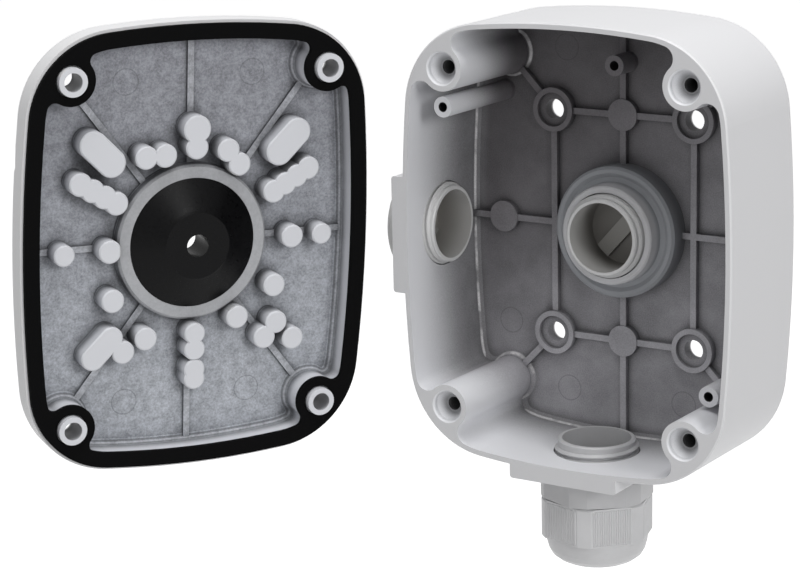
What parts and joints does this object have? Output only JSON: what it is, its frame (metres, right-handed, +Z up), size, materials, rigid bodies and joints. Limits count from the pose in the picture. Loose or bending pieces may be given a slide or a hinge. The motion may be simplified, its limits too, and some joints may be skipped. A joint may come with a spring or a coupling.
{
  "type": "junction box",
  "caption": "Cast junction box for a security camera: ribbed tray with rear and side blanking plugs and a cable gland, and its gasketed cover with camera bosses standing open.",
  "frame": {"origin": "centre of the wall fixing pattern on the back face of the box", "axes": "+X to the right seen from the open front, +Y out of the back into the wall, +Z up; the gland points down"},
  "size_m": [0.1915, 0.1437, 0.1741],
  "materials": {
    "box_casting": "die casting, light grey paint outside and darker bare casting inside",
    "cover_casting": "die casting, light grey paint outside and speckled grey inside",
    "plug_plastic": "satin light grey moulded plastic",
    "gland_plastic": "satin light grey moulded plastic",
    "nut_plastic": "satin light grey moulded plastic with fine grip ribs",
    "washer_rubber": "matte grey sealing washer",
    "seal_rubber": "matte black rubber",
    "gasket_rubber": "matte black foam rubber",
    "grommet_rubber": "smooth glossy black rubber"
  },
  "bodies": {
    "box": {"box_body": "box_casting", "upper_post": "box_casting", "lower_post": "box_casting", "centre_post": "box_casting", "gland_body": "gland_plastic", "gland_washer": "washer_rubber"},
    "cover": {"cover_shell": "cover_casting", "cover_gasket": "gasket_rubber", "cable_grommet": "grommet_rubber"},
    "side_plug_travel": {"side_plug_washer": "washer_rubber"},
    "side_plug_turn": {"side_plug": "plug_plastic"},
    "rear_plug_travel": {"rear_plug_washer": "washer_rubber"},
    "rear_plug_turn": {"rear_plug": "plug_plastic"},
    "gland_nut_travel": {"gland_seal": "seal_rubber"},
    "gland_nut_turn": {"gland_nut": "nut_plastic"}
  },
  "joints": [
    {"name": "cover_close", "type": "hinge", "parent": "box", "child": "cover", "pos_m": [-0.0625, -0.0428, 0], "axis": [0.0336, -0.018, 0.9993], "range_deg": [0, 120.4]},
    {"name": "side_plug_slide", "type": "slide", "parent": "box", "child": "side_plug_travel", "axis": [-1, 0, 0], "range_m": [0, 0.01088]},
    {"name": "side_plug_screw", "type": "hinge", "parent": "side_plug_travel", "child": "side_plug_turn", "pos_m": [-0.06, -0.0222, 0], "axis": [-1, 0, 0], "range_deg": [0, 2160]},
    {"name": "rear_plug_slide", "type": "slide", "parent": "box", "child": "rear_plug_travel", "axis": [0, 1, 0], "range_m": [0, 0.01088]},
    {"name": "rear_plug_screw", "type": "hinge", "parent": "rear_plug_travel", "child": "rear_plug_turn", "pos_m": [0, -0.008, 0], "axis": [0, 1, 0], "range_deg": [0, 2160]},
    {"name": "gland_nut_slide", "type": "slide", "parent": "box", "child": "gland_nut_travel", "axis": [0, 0, -1], "range_m": [0, 0.006]},
    {"name": "gland_nut_screw", "type": "hinge", "parent": "gland_nut_travel", "child": "gland_nut_turn", "pos_m": [0, -0.0222, -0.0813], "axis": [0, 0, -1], "range_deg": [0, 1080]}
  ],
  "couplings": [
    {"joint": "side_plug_screw", "follows": "side_plug_slide", "rad_per_m": 3463.7},
    {"joint": "rear_plug_screw", "follows": "rear_plug_slide", "rad_per_m": 3463.7},
    {"joint": "gland_nut_screw", "follows": "gland_nut_slide", "rad_per_m": 3141.6}
  ]
}
